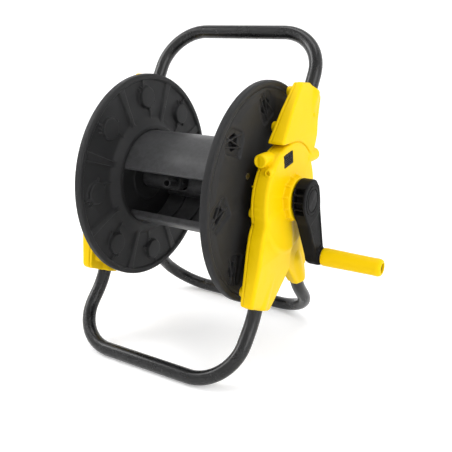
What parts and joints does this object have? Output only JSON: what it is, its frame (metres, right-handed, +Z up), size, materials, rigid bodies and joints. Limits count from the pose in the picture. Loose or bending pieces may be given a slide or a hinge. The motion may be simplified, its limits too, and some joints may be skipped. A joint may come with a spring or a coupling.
{
  "type": "garden hose reel",
  "caption": "Free-standing hose reel with a bent tube frame, two clamshell side brackets, an open winding drum, a turning crank grip and a swivelling water inlet.",
  "frame": {"origin": "on the ground, below the centre of the overall box", "axes": "+X along the reel axis towards the crank, -Y the front, +Z up"},
  "size_m": [0.45, 0.29, 0.4354],
  "materials": {
    "yellow": "moulded, satin gloss",
    "tube": "gloss powder coat",
    "black": "moulded, satin",
    "steel": "zinc plated",
    "bush": "natural acetal",
    "rubber": "matt",
    "brass": "turned brass"
  },
  "bodies": {
    "frame": {"handle_tube": "tube", "front_leg_tube": "tube", "rear_leg_tube": "tube", "right_outer_shell": "yellow", "right_inner_shell": "yellow", "left_outer_shell": "yellow", "left_inner_shell": "yellow", "right_shell_screws": "steel", "left_shell_screws": "steel", "tube_lock_screws": "steel", "vent_insert": "black", "right_bush": "bush", "left_bush": "bush"},
    "reel": {"left_flange": "black", "right_flange": "black", "upper_drum_plate": "black", "lower_drum_plate": "black", "core_tube": "black", "left_hub": "black", "drive_hub": "black", "hub_screws": "steel", "drum_screws": "steel", "water_pipe": "black", "outlet_nipple": "black", "outlet_seal": "rubber", "inlet_orings": "rubber", "crank_arm": "black", "crank_screw": "steel", "crank_cap": "black", "grip_spindle": "steel", "grip_washer": "steel"},
    "grip": {"grip": "yellow"},
    "inlet": {"inlet_elbow": "black", "inlet_ring": "steel", "inlet_nipple": "brass"}
  },
  "joints": [
    {"name": "reel_spin", "type": "hinge", "parent": "frame", "child": "reel", "pos_m": [-0.034, 0, 0.227], "axis": [1, 0, 0], "continuous": true},
    {"name": "grip_spin", "type": "hinge", "parent": "reel", "child": "grip", "pos_m": [0.143, 0.03446, 0.1417], "axis": [1, 0, 0], "continuous": true},
    {"name": "inlet_swivel", "type": "hinge", "parent": "frame", "child": "inlet", "pos_m": [-0.214, 0, 0.227], "axis": [1, 0, 0], "continuous": true}
  ]
}
